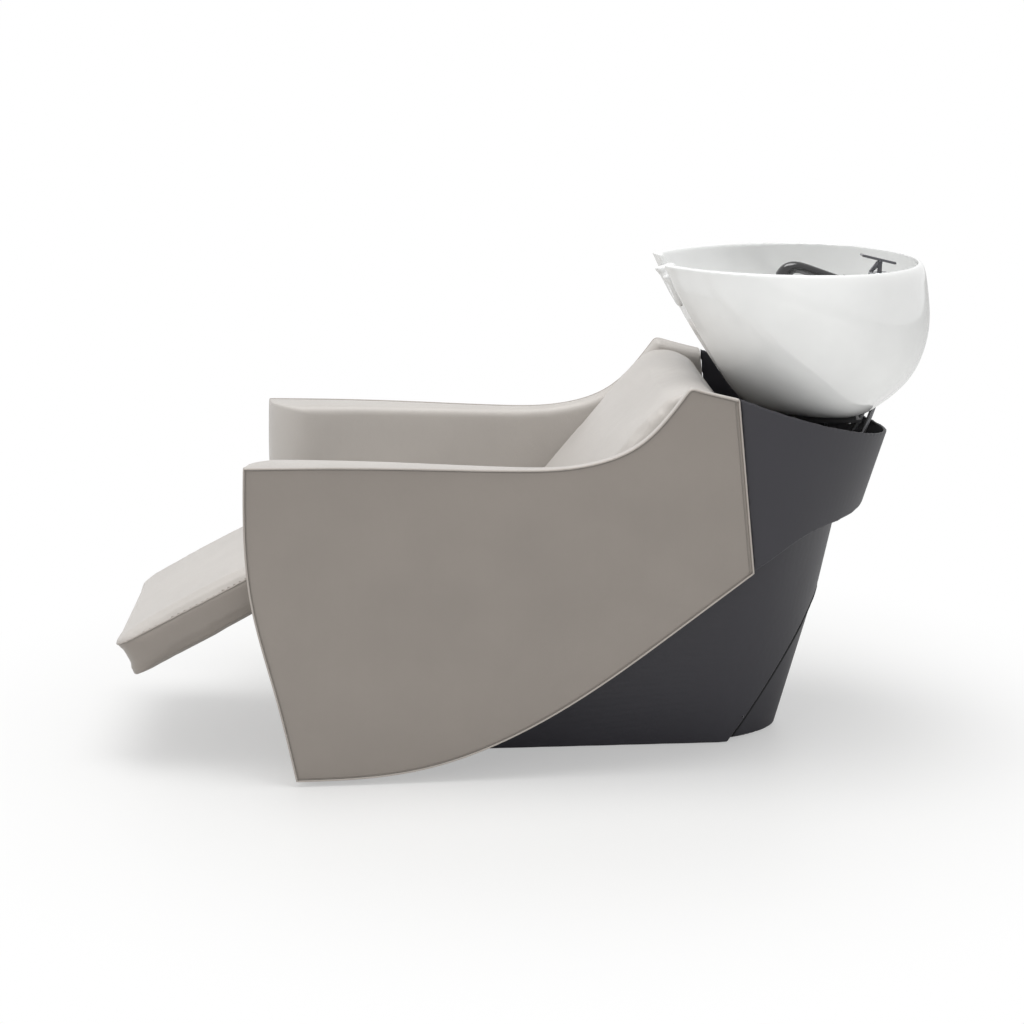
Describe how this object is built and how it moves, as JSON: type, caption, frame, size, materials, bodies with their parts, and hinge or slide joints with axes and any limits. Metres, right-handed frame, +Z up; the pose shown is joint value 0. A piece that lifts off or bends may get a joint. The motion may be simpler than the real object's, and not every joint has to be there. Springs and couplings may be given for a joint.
{
  "type": "backwash unit",
  "caption": "Salon backwash unit: seat between upholstered side panels, hinged footrest and tilting ceramic basin with mixer and pull-out sprayer.",
  "frame": {"origin": "on the floor, on the underside of the foot plate, in the unit's middle plane", "axes": "+X from the footrest towards the basin, +Y to the sitter's right, +Z up"},
  "size_m": [1.5497, 0.7026, 0.9507],
  "materials": {
    "arm_upholstery": "satin",
    "cushion_upholstery": "satin",
    "piping": "satin",
    "ceramic": "gloss",
    "shell_plastic": "matte",
    "steel_frame": "satin",
    "fastener_steel": "satin",
    "plywood": "matte",
    "chrome": "polished",
    "black_gloss": "gloss",
    "soft_black": "matte",
    "pale_gel": "satin",
    "rubber_black": "matte",
    "bush_plastic": "matte",
    "braided_hose": "satin",
    "drain_plastic": "matte",
    "red_lever": "satin",
    "blue_lever": "satin"
  },
  "bodies": {
    "frame": {"base_plate": "steel_frame", "front_post": "steel_frame", "rear_post": "steel_frame", "cross_tubes": "steel_frame", "arm_flanges": "steel_frame", "seat_rails": "steel_frame", "back_struts": "steel_frame", "cheek_plates": "steel_frame", "valve_bracket": "steel_frame", "axle_blocks": "steel_frame", "arm_bolts": "fastener_steel", "tilt_pin": "fastener_steel", "footrest_axle": "fastener_steel", "seat_board": "plywood", "back_board": "plywood", "left_arm_carcass": "plywood", "right_arm_carcass": "plywood", "left_arm_cover": "arm_upholstery", "right_arm_cover": "arm_upholstery", "left_arm_piping": "piping", "right_arm_piping": "piping", "seat_cushion": "cushion_upholstery", "back_cushion": "cushion_upholstery", "seat_apron": "arm_upholstery", "side_shell_left": "shell_plastic", "side_shell_right": "shell_plastic", "service_panel": "shell_plastic", "cradle_collar": "shell_plastic", "hot_hose": "braided_hose", "cold_hose": "braided_hose", "drain_hose": "drain_plastic", "bottle_trap": "drain_plastic", "waste_pipe": "drain_plastic", "hot_stop_valve": "chrome", "cold_stop_valve": "chrome"},
    "footrest": {"footrest_cushion": "cushion_upholstery", "footrest_board": "plywood", "footrest_sleeve": "steel_frame", "footrest_brackets": "steel_frame"},
    "basin": {"bowl": "ceramic", "neck_rest": "pale_gel", "basin_pad": "rubber_black", "tilt_bracket": "steel_frame", "tilt_bushes": "bush_plastic", "clamp_stud": "fastener_steel", "basin_screws": "fastener_steel", "waste_fitting": "chrome", "mixer_body": "chrome", "sprayer_ferrule": "chrome", "sprayer_hose": "braided_hose"},
    "lock_lever": {"lock_lever": "steel_frame"},
    "mixer_cap": {"mixer_cap": "chrome"},
    "mixer_lever": {"mixer_lever": "chrome"},
    "sprayer": {"sprayer": "black_gloss", "spray_face": "soft_black"},
    "strainer": {"strainer": "chrome"},
    "hot_valve_lever": {"hot_valve_lever": "red_lever"},
    "cold_valve_lever": {"cold_valve_lever": "blue_lever"}
  },
  "joints": [
    {"name": "footrest_hinge", "type": "hinge", "parent": "frame", "child": "footrest", "pos_m": [-0.548, 0, 0.383], "axis": [0, 1, 0], "range_deg": [-62.3, 27.7]},
    {"name": "basin_tilt", "type": "hinge", "parent": "frame", "child": "basin", "pos_m": [0.35, 0, 0.59], "axis": [0, 1, 0], "range_deg": [-4, 12], "deforming": ["hot_hose", "cold_hose", "drain_hose"]},
    {"name": "lock_turn", "type": "hinge", "parent": "basin", "child": "lock_lever", "pos_m": [0.35, 0.056, 0.545], "axis": [0, 1, 0], "range_deg": [0, 20]},
    {"name": "mixer_swivel", "type": "hinge", "parent": "basin", "child": "mixer_cap", "pos_m": [0.566, -0.062, 0.9], "axis": [0, 0, 1], "range_deg": [-45, 45]},
    {"name": "mixer_lift", "type": "hinge", "parent": "mixer_cap", "child": "mixer_lever", "pos_m": [0.566, -0.062, 0.9105], "axis": [0, 1, 0], "range_deg": [0, 20]},
    {"name": "sprayer_pull", "type": "slide", "parent": "basin", "child": "sprayer", "axis": [-0.9489, 0, 0.3156], "range_m": [0, 0.12], "deforming": ["sprayer_hose"]},
    {"name": "strainer_lift", "type": "slide", "parent": "basin", "child": "strainer", "axis": [0, 0, 1], "range_m": [0, 0.04]},
    {"name": "hot_valve_turn", "type": "hinge", "parent": "frame", "child": "hot_valve_lever", "pos_m": [0.284, -0.1, 0.15], "axis": [0, 1, 0], "range_deg": [0, 90]},
    {"name": "cold_valve_turn", "type": "hinge", "parent": "frame", "child": "cold_valve_lever", "pos_m": [0.284, 0.1, 0.15], "axis": [0, 1, 0], "range_deg": [0, 90]}
  ]
}
